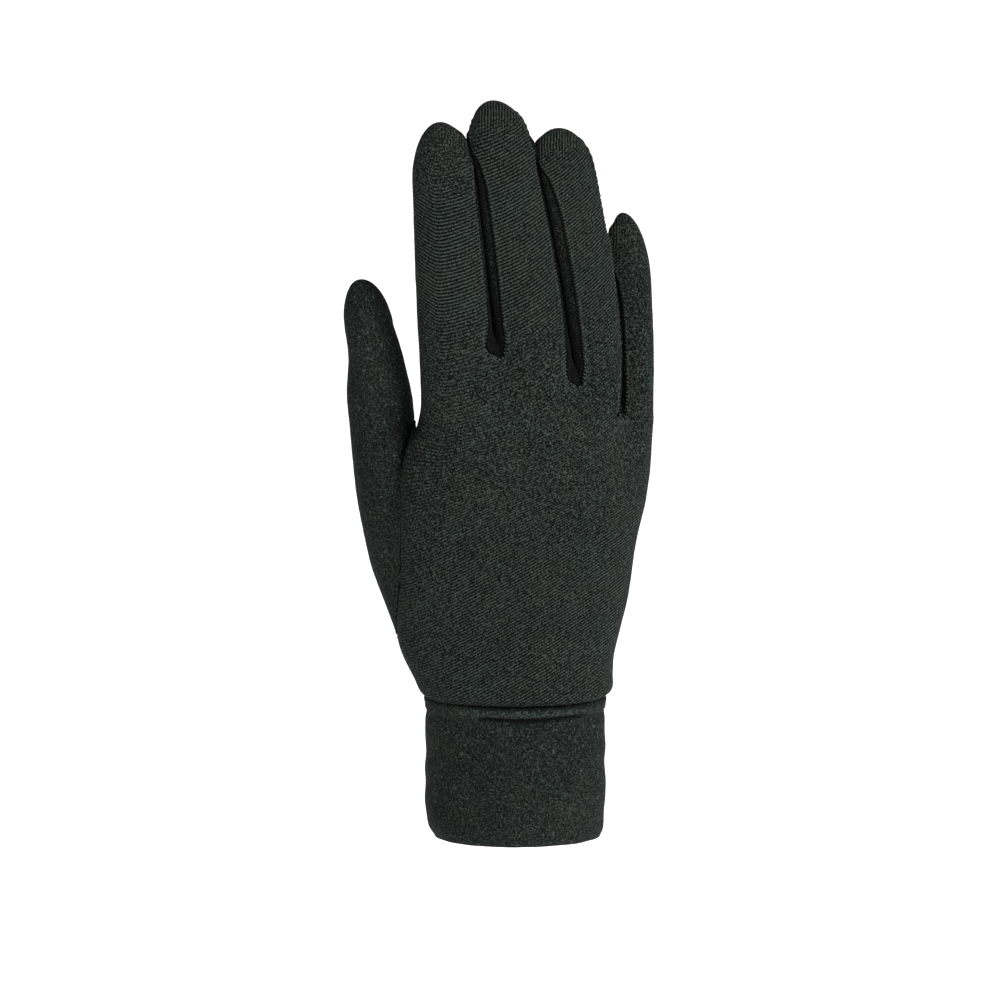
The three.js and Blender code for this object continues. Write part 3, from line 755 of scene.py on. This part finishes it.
def bars(middles, ways, lifts, sizes):
    """Small round-ended bars, one at each middle, as one mesh; sizes are shares of a full stitch."""
    ends = np.array([(-0.5, 0.25), (-0.4, 0.8), (0, 1), (0.4, 0.8), (0.5, 0.25)])
    turn = np.arange(STITCH_SIDES) / STITCH_SIDES * 2 * np.pi
    ways, lifts = unit(ways), unit(lifts)
    sides = unit(np.cross(ways, lifts))
    rings = []
    for along, thick in ends:
        ring = middles[:, None] + ways[:, None] * along * STITCH_LENGTH * sizes[:, None, None] ** 0.5
        radius = thick * STITCH_THICK / 2 * sizes[:, None]
        ring = ring + sides[:, None] * (radius * np.cos(turn))[..., None]
        ring = ring + lifts[:, None] * (radius * np.sin(turn))[..., None]
        rings.append(ring)
    points = np.stack(rings, axis=1).reshape(len(middles), -1, 3)
    one = []
    for ring in range(len(ends) - 1):
        for k in range(STITCH_SIDES):
            a, b = ring * STITCH_SIDES + k, ring * STITCH_SIDES + (k + 1) % STITCH_SIDES
            one.append([a, b, b + STITCH_SIDES, a + STITCH_SIDES])
    last = (len(ends) - 1) * STITCH_SIDES
    one += [list(range(STITCH_SIDES))[::-1], [last + k for k in range(STITCH_SIDES)]]
    count = points.shape[1]
    faces = [[v + k * count for v in face] for k in range(len(middles)) for face in one]
    return points.reshape(-1, 3), faces


def make_stitches(i, side, cloth, normals, name, material):
    """A row of stitches up both sides of the slot between fingers i and i + 1, and round its end."""
    ups = np.linspace(0, 1, 160)[1:]
    legs = []
    for finger, edge in ((i, 1.0), (i + 1, 0.0)):
        seam = strip_point(finger, ups, np.full_like(ups, edge), side)
        beside = strip_point(finger, ups, np.full_like(ups, lerp(edge, 0.5, 0.2)), side)
        legs.append((seam, unit(beside - seam)))
    end = web_point(i, np.asarray(0.0 if side == BACK else 1.0))
    turn = np.linspace(-1, 1, 15)[:, None]
    outward = np.where(turn < 0, -turn * legs[0][1][0], turn * legs[1][1][0])
    fan = outward + (1 - np.abs(turn)) * np.array([0, 0, -1])
    seam = np.concatenate([legs[0][0][::-1], np.repeat(end[None], len(fan), axis=0), legs[1][0]])
    out = np.concatenate([legs[0][1][::-1], unit(fan), legs[1][1]])
    beside = seam + out * STITCH_OFFSET
    run = np.concatenate([[0], np.cumsum(np.linalg.norm(np.diff(beside, axis=0), axis=1))])
    places = np.arange(STITCH_STEP, run[-1] - STITCH_STEP, STITCH_STEP)
    middles = np.stack([np.interp(places, run, beside[:, k]) for k in range(3)], axis=1)
    across = np.stack([np.interp(places, run, out[:, k]) for k in range(3)], axis=1)
    tree = KDTree(len(cloth))
    for k, point in enumerate(cloth.tolist()):
        tree.insert(point, k)
    tree.balance()
    nearest = np.array([tree.find(point)[1] for point in middles.tolist()])
    lift = normals[nearest]
    depth = ((middles - cloth[nearest]) * lift).sum(axis=1, keepdims=True)
    sizes = 0.4 + 0.6 * bell(np.linalg.norm(middles - end, axis=1), STITCH_FULL)
    middles = middles - lift * (depth - STITCH_THICK * 0.3 * sizes[:, None])
    points, faces = bars(middles, across, lift, sizes)
    return mesh_piece(name, points, faces, knit_attributes(points, np.zeros(len(points))), [material])


# The thumb

# Painted shade on the thumb's side that faces the hand, and painted shadow at its foot there and in the
# crotch
THUMB_SIDE_SHADE, THUMB_FOOT_SHADOW, THUMB_CROTCH_SHADOW = 0.14, 0.2, 0.5


def hole_point(turn):
    back = hand_point(HOLE_MIDDLE + HOLE_HALF * np.cos(turn), hole_edge(turn, BACK), BACK)
    palm = hand_point(HOLE_MIDDLE + HOLE_HALF * np.cos(turn), hole_edge(turn, PALM), PALM)
    return np.where((turn <= np.pi)[..., None], back, palm)


def thumb_point(place, turn):
    """Points on the thumb's sections; place 1 is the first of them and 6 the last."""
    crotch, heel = hole_point(np.array(0.0)), hole_point(np.array(np.pi))
    value = {name: value_at(THUMB_SECTIONS, "place", name, place) for name in THUMB_SECTIONS}

    def end(name):
        up = value[name + "_up"]
        z = crotch[2] + up * np.where(up < 0, crotch[2] - heel[2], THUMB_LENGTH)
        return vector(crotch[0] - value[name + "_out"] * THUMB_WIDTH, 0, z)

    inner, outer = end("inner"), end("outer")
    point = (inner + outer) / 2 - (outer - inner) / 2 * np.cos(turn)[..., None]
    point[..., 1] = value["behind"] * THUMB_DEPTH - value["depth"] * THUMB_DEPTH / 2 * np.sin(turn)
    return point


def make_thumb(name, material):
    around = 2 * HOLE_ROWS
    turn = np.arange(around) / around * 2 * np.pi
    places = np.linspace(0, len(THUMB_SECTIONS["place"]), THUMB_ROWS + 1)
    rows = []
    hole = hole_point(turn)
    for place in places:
        if place < 1:
            first = thumb_point(np.full(around, 1.0), turn)
            rows.append(lerp(hole, first, place))
        else:
            rows.append(thumb_point(np.full(around, place), turn))
    ring = rows[-1]
    middle = ring.mean(axis=0)
    crotch = hole_point(np.array(0.0))
    tip = crotch + np.array([-THUMB_TIP["out"] * THUMB_WIDTH, 0, THUMB_TIP["up"] * THUMB_LENGTH])
    tip[1] = THUMB_TIP["behind"] * THUMB_DEPTH
    for round_off in np.linspace(0, np.pi / 2, THUMB_TIP_ROWS + 1)[1:]:
        rows.append(lerp(ring, middle, 1 - np.cos(round_off)) + (tip - middle) * np.sin(round_off))
    grid = np.array(rows)
    index = np.arange(grid.shape[0] * around).reshape(grid.shape[0], around)
    index[-1] = index[-1, 0]
    index = np.concatenate([index, index[:, :1]], axis=1)
    points = grid.reshape(-1, 3)
    faces = [face[::-1] for face in quads(index)]
    row_of = np.repeat(np.arange(len(rows)), around)
    smoothing = np.where(row_of < 3, 0.3, np.clip((70 - row_of) / 60, 0.08, 0.8))
    points = relax(points, faces, smoothing, 40)
    normals = normals_of(points, faces)
    away = np.linalg.norm(points.reshape(grid.shape) - points[:around][None], axis=-1).ravel()
    relief = 0.2 * ripple(points, 22, 8) + 0.05 * ripple(points, 6, 9) + seam_relief(away, points[:, 2])
    points = points + normals * relief[:, None]
    # Painted shade and highlight at the seam, painted shade on the side facing the hand, and painted shadow
    # at its foot and crotch
    shade = seam_shade_and_highlight(away) - THUMB_SIDE_SHADE * smooth(normals[:, 0] * 1.6)
    shade -= THUMB_FOOT_SHADOW * bell(away, 9) * smooth(normals[:, 0] * 2)
    shade -= THUMB_CROTCH_SHADOW * bell(np.linalg.norm(points - crotch, axis=1), 6)
    knit = knit_attributes(points, np.full(len(points), 0.1), shade=shade)
    return cloth_piece(name, points, faces, CLOTH, knit, material)


# The cuff

# The crease below the rolled seam, on the back only
CREASE = {"down": 3.9, "sag": 0.7, "from": -15, "to": 26, "depth": 0.9, "width": 0.7}
# A faint slanting dent on the front of the cuff
CUFF_DENT = {"middle": (14, -20, 28), "slope": 0.42, "length": 8, "depth": 0.5}
# Painted shadow in the crease and under the hand's cloth at the top of the cuff, and a painted highlight on
# the rolled seam
CREASE_SHADOW, ROLL_SHADOW, ROLL_HIGHLIGHT = 0.6, 0.4, 0.28


def make_cuff(name, material):
    turn = np.arange(CUFF_COLUMNS) / CUFF_COLUMNS * 2 * np.pi
    down = np.concatenate([np.linspace(0, 0.14, 44), np.linspace(0.14, 1, CUFF_ROWS - 28)[1:]])
    swell = value_at(CUFF_SECTIONS, "down", "swell", down)[:, None] * CUFF_ROLL_RISE
    # The rolled seam is full on the back and shallow at the sides and under the thumb
    roll_here = 0.25 + 0.75 * smooth(np.cos(turn - 0.15) * 1.4)
    top = bell(down - 0.05, 0.045)[:, None]
    swell = swell * (1 - top + top * roll_here)
    sag = 0.35 * np.sin(turn * 2 + 0.6) * np.sin(down * np.pi)[:, None] + 0.2 * np.sin(turn * 3 + 2.1)
    sag = sag + 0.14 * np.sin(down * 21 + 0.5)[:, None] * np.sin(turn + 0.3)
    left_corner = bell(turn - 1.5 * np.pi, 0.9) * -1.3 * smooth((down - 0.86) / 0.14)[:, None] ** 2
    grow = swell + sag * smooth(down * 5)[:, None] + left_corner
    x = (CUFF_WIDTH / 2 + grow) * np.sin(turn)
    y = -(CUFF_DEPTH / 2 + grow) * np.cos(turn)
    z = (CUFF_LENGTH - SEAM_CLEAR) * (1 - down)[:, None] + 0 * turn
    grid = vector(x, y, z)
    index = np.arange(grid.shape[0] * CUFF_COLUMNS).reshape(grid.shape[0], CUFF_COLUMNS)
    index = np.concatenate([index, index[:, :1]], axis=1)
    points = grid.reshape(-1, 3)
    faces = [face[::-1] for face in quads(index)]
    normals = normals_of(points, faces)
    dent_way = np.array([math.cos(CUFF_DENT["slope"]), 0, -math.sin(CUFF_DENT["slope"])])
    from_dent = points - np.array(CUFF_DENT["middle"])
    along = from_dent @ dent_way
    across = from_dent @ np.array([dent_way[2], 0, -dent_way[0]])
    front = smooth(-normals[:, 1] * 2)
    relief = -CUFF_DENT["depth"] * bell(along, CUFF_DENT["length"]) * bell(across, 1.8) * front
    relief += 0.14 * ripple(points, 9, 12)
    middle_line = points[:, 2] - (CUFF_LENGTH - CREASE["down"] - CREASE["sag"] * bell(points[:, 0] - 5, 14))
    reach = smooth((points[:, 0] - CREASE["from"]) / 6) * smooth((CREASE["to"] - points[:, 0]) / 6)
    low_crease = bell(middle_line, CREASE["width"]) * reach * front
    relief -= CREASE["depth"] * low_crease
    top_crease = wrist_crease(points, BACK) * front
    below = CUFF_LENGTH - points[:, 2]
    # Painted shadow in the crease and under the overhanging cloth, and a painted highlight on the roll
    shade = -CREASE_SHADOW * low_crease - ROLL_SHADOW * bell(below, 0.6) * top_crease
    shade += ROLL_HIGHLIGHT * bell(below - 2.2, 1.0) * top_crease
    points = points + normals * relief[:, None]
    knit = knit_attributes(points, np.full(len(points), 0.08), shade=shade)
    return cloth_piece(name, points, faces, CUFF_CLOTH, knit, material)


# Materials, with every pattern worked out from the mesh's own attributes and places

class Nodes:
    """Adds shader nodes to a material, briefly."""

    def __init__(self, name):
        self.material = bpy.data.materials.new(name)
        self.material.use_nodes = True
        self.tree = self.material.node_tree
        self.shader = self.tree.nodes["Principled BSDF"]

    def add(self, kind, inputs=(), **settings):
        node = self.tree.nodes.new("ShaderNode" + kind)
        for key, value in settings.items():
            setattr(node, key, value)
        for key, value in dict(inputs).items():
            if isinstance(value, bpy.types.NodeSocket):
                self.tree.links.new(value, node.inputs[key])
            else:
                node.inputs[key].default_value = value
        return node.outputs[0]

    def math(self, operation, *values):
        return self.add("Math", enumerate(values), operation=operation)

    def attribute(self, name):
        node = self.tree.nodes.new("ShaderNodeAttribute")
        node.attribute_name = name
        return node.outputs["Fac"]

    def position(self, axis=None):
        """The position on the object, or its value along one axis."""
        position = self.add("TexCoord").node.outputs["Object"]
        return self.add("SeparateXYZ", {0: position}).node.outputs[axis] if axis else position

    def wave(self, turns):
        return self.math("SINE", self.math("MULTIPLY", turns, 2 * math.pi))

    def ramp(self, value, stops):
        node = self.tree.nodes.new("ShaderNodeValToRGB")
        while len(node.color_ramp.elements) < len(stops):
            node.color_ramp.elements.new(0.5)
        for element, (position, colour) in zip(node.color_ramp.elements, stops):
            element.position = position
            element.color = (*colour, 1)
        self.tree.links.new(value, node.inputs["Fac"])
        return node.outputs["Color"]

    def noise(self, scale, detail=2.0, roughness=0.6):
        settings = {"Vector": self.position(), "Scale": scale, "Detail": detail, "Roughness": roughness}
        return self.add("TexNoise", settings)

    def spread(self, value, low, high):
        """Stretches a noise's middle values over 0 to 1."""
        settings = {"Value": value, "From Min": low, "From Max": high}
        return self.add("MapRange", settings, clamp=True)


TIP_PITCH = 1.0  # of the upright ribs at the fingertips
# The scales of the noises in the knit, and how much each counts
WANDER_SCALE, WANDER = 150, 0.7
LOOP_SCALE, YARN_SCALE = 1500, 2700
BLOTCH_SCALE, BLOTCH = 38, 0.12
FLECK_SCALE, FLECK = 780, 0.5
TINT_SCALE = 75
TIP_LIGHT, TIP_TINT = 0.08, 0.4
GRAIN_HEIGHT, BUMP_DISTANCE = 0.7, 0.00025
TINTS = ((0.0, (0.8, 1.02, 0.98)), (0.5, (0.85, 1.0, 0.93)), (1.0, (0.97, 0.99, 0.9)))


def fabric(name, colours, level, rib, speckle, sheen):
    """Fine black knit: ribs, speckled yarn, bright flecks, blotches and a soft sheen."""
    n = Nodes(name)
    wander = n.math("MULTIPLY", n.noise(WANDER_SCALE, 2.0), WANDER)
    wave = n.wave(n.math("ADD", n.attribute("rib"), wander))
    upright = n.wave(n.math("ADD", n.math("MULTIPLY", n.position("X"), 1 / (TIP_PITCH * MM)), wander))
    tip = n.attribute("tip")
    wave = n.math("ADD", wave, n.math("MULTIPLY", tip, n.math("SUBTRACT", upright, wave)))
    depth = n.math("MULTIPLY", n.attribute("rib_depth"), rib)
    ribs = n.math("MULTIPLY", wave, depth)
    loops = n.math("SUBTRACT", n.spread(n.noise(LOOP_SCALE, 0.5), 0.34, 0.66), 0.5)
    yarn = n.math("SUBTRACT", n.spread(n.noise(YARN_SCALE, 0.5), 0.34, 0.66), 0.5)
    blotch = n.math("SUBTRACT", n.spread(n.noise(BLOTCH_SCALE, 3.0), 0.3, 0.7), 0.5)
    fleck = n.math("MULTIPLY", n.spread(n.noise(FLECK_SCALE, 0.0), 0.72, 0.8), FLECK)
    grain = n.math("ADD", n.math("MULTIPLY", n.math("ADD", loops, yarn), speckle), fleck)
    patch = n.math("ADD", n.math("MULTIPLY", blotch, BLOTCH), n.math("MULTIPLY", tip, TIP_LIGHT))
    # Painted shade and highlights, read from the mesh's shade attribute
    patch = n.math("ADD", patch, n.attribute("shade"))
    tone = n.math("ADD", level, n.math("ADD", ribs, n.math("ADD", grain, patch)))
    shade = n.ramp(tone, colours)
    warmth = n.math("ADD", n.math("MULTIPLY", tip, TIP_TINT), n.spread(n.noise(TINT_SCALE, 1.0), 0.3, 0.7))
    tint = n.ramp(warmth, TINTS)
    colour = n.add("VectorMath", {0: shade, 1: tint}, operation="MULTIPLY")
    n.tree.links.new(colour, n.shader.inputs["Base Color"])
    height = n.math("ADD", ribs, n.math("MULTIPLY", grain, GRAIN_HEIGHT))
    bump = n.add("Bump", {"Height": height, "Strength": 1.0, "Distance": BUMP_DISTANCE})
    n.tree.links.new(bump, n.shader.inputs["Normal"])
    rough = n.add("MapRange", {"Value": tone, "From Min": 0.0, "From Max": 1.0, "To Min": 1.0, "To Max": 0.8})
    n.tree.links.new(rough, n.shader.inputs["Roughness"])
    n.shader.inputs["Specular IOR Level"].default_value = 0.1
    n.shader.inputs["Sheen Weight"].default_value = sheen
    n.shader.inputs["Sheen Roughness"].default_value = 0.4
    n.shader.inputs["Sheen Tint"].default_value = (0.8, 0.9, 0.86, 1)
    return n.material


YARN = ((0.0, (0.0002, 0.0003, 0.0003)), (0.45, (0.0052, 0.0062, 0.0058)), (1.0, (0.032, 0.036, 0.034)))
THREAD = ((0.0, (0.008, 0.009, 0.0085)), (0.45, (0.036, 0.041, 0.039)), (1.0, (0.1, 0.11, 0.106)))
thread = fabric("thread", THREAD, level=0.42, rib=0.0, speckle=0.5, sheen=0.03)
jersey = fabric("jersey_knit", YARN, level=0.41, rib=0.64, speckle=0.7, sheen=0.015)
# The same knit made darker for the strips between the fingers: painted shade of the slots' recesses
shaded_strip_knit = fabric("shaded_strip_knit", YARN, level=0.3, rib=0.1, speckle=0.6, sheen=0.01)
plain_knit = fabric("plain_knit", YARN, level=0.42, rib=0.2, speckle=0.46, sheen=0.015)


# The pieces

def dress(piece, node):
    """Puts a cloth piece in place of its solid: attaches it to the root and hides the solid."""
    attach(piece, "root")
    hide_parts(node)


def sewn(piece):
    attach(piece, "root")


finger_pairs = [f"{FINGER_NAMES[i]}_{FINGER_NAMES[i + 1]}" for i in range(SLOT_COUNT)]
for side, word, area in ((BACK, "back", 185), (PALM, "palm", 175)):
    cloth, points, normals = make_trank(side, f"{word}_cloth", jersey)
    dress(cloth, f"{word}_panel")
    for i, pair in enumerate(finger_pairs):
        sewn(make_stitches(i, side, points, normals, f"stitches_{word}_{pair}", thread))
for i, pair in enumerate(finger_pairs):
    side_strip = make_fourchette(i, f"side_strip_{pair}", shaded_strip_knit)
    dress(side_strip, f"fourchette_{pair}")
dress(make_thumb("thumb_cloth", plain_knit), "thumb")
dress(make_cuff("cuff_cloth", plain_knit), "cuff")


# The stage: a pale floor, soft light and the camera

PIXEL = 0.35  # millimetres of the object in one pixel of the picture
PICTURE = 1000
ELEVATION = math.radians(13)
ORIGIN_PIXEL = (515, 835)
CAMERA_DISTANCE = 1.5
FLOOR_DEPTH = 90
FLOOR_HALF = 9.0
FLOOR_GLOW, WORLD_LIGHT = 0.75, 0.45
LIGHT_AIM = (0, 0, 0.14)


def emission_floor():
    n = Nodes("pale_floor")
    n.shader.inputs["Base Color"].default_value = (0.9, 0.9, 0.9, 1)
    n.shader.inputs["Roughness"].default_value = 0.9
    n.shader.inputs["Specular IOR Level"].default_value = 0.0
    n.shader.inputs["Emission Color"].default_value = (1, 1, 1, 1)
    n.shader.inputs["Emission Strength"].default_value = FLOOR_GLOW
    return n.material


def make_floor():
    size = FLOOR_HALF
    mesh = bpy.data.meshes.new("floor")
    low = -FLOOR_DEPTH * MM
    corners = [(-size, -size, low), (size, -size, low), (size, size, low), (-size, size, low)]
    mesh.from_pydata(corners, [], [(0, 1, 2, 3)])
    mesh.materials.append(emission_floor())
    floor = bpy.data.objects.new("floor", mesh)
    bpy.context.scene.collection.objects.link(floor)


def make_light(name, place, aim, size, power):
    data = bpy.data.lights.new(name, "AREA")
    data.shape = "DISK"
    data.size = size
    data.energy = power
    light = bpy.data.objects.new(name, data)
    light.location = place
    light.rotation_euler = (Vector(aim) - Vector(place)).to_track_quat("-Z", "Y").to_euler()
    bpy.context.scene.collection.objects.link(light)


def make_stage():
    make_floor()
    world = bpy.data.worlds.new("studio")
    world.use_nodes = True
    world.node_tree.nodes["Background"].inputs["Color"].default_value = (1, 1, 1, 1)
    world.node_tree.nodes["Background"].inputs["Strength"].default_value = WORLD_LIGHT
    scene = bpy.context.scene
    scene.world = world
    scene.view_settings.view_transform = "Standard"
    make_light("key", (0.85, -0.95, 0.7), LIGHT_AIM, size=0.6, power=27)
    make_light("fill", (-0.9, -1.0, 0.5), LIGHT_AIM, size=0.9, power=4)


def make_camera():
    data = bpy.data.cameras.new("camera")
    data.type = "ORTHO"
    data.ortho_scale = PIXEL * PICTURE * MM
    x = (PICTURE / 2 - ORIGIN_PIXEL[0]) * PIXEL
    z = (ORIGIN_PIXEL[1] - PICTURE / 2) * PIXEL / math.cos(ELEVATION)
    aim = Vector((x, 0, z)) * MM
    back = Vector((0, -math.cos(ELEVATION), math.sin(ELEVATION)))
    camera = bpy.data.objects.new("camera", data)
    camera.location = aim + back * CAMERA_DISTANCE
    camera.rotation_euler = (-back).to_track_quat("-Z", "Y").to_euler()
    bpy.context.scene.collection.objects.link(camera)
    bpy.context.scene.camera = camera


make_stage()
make_camera()
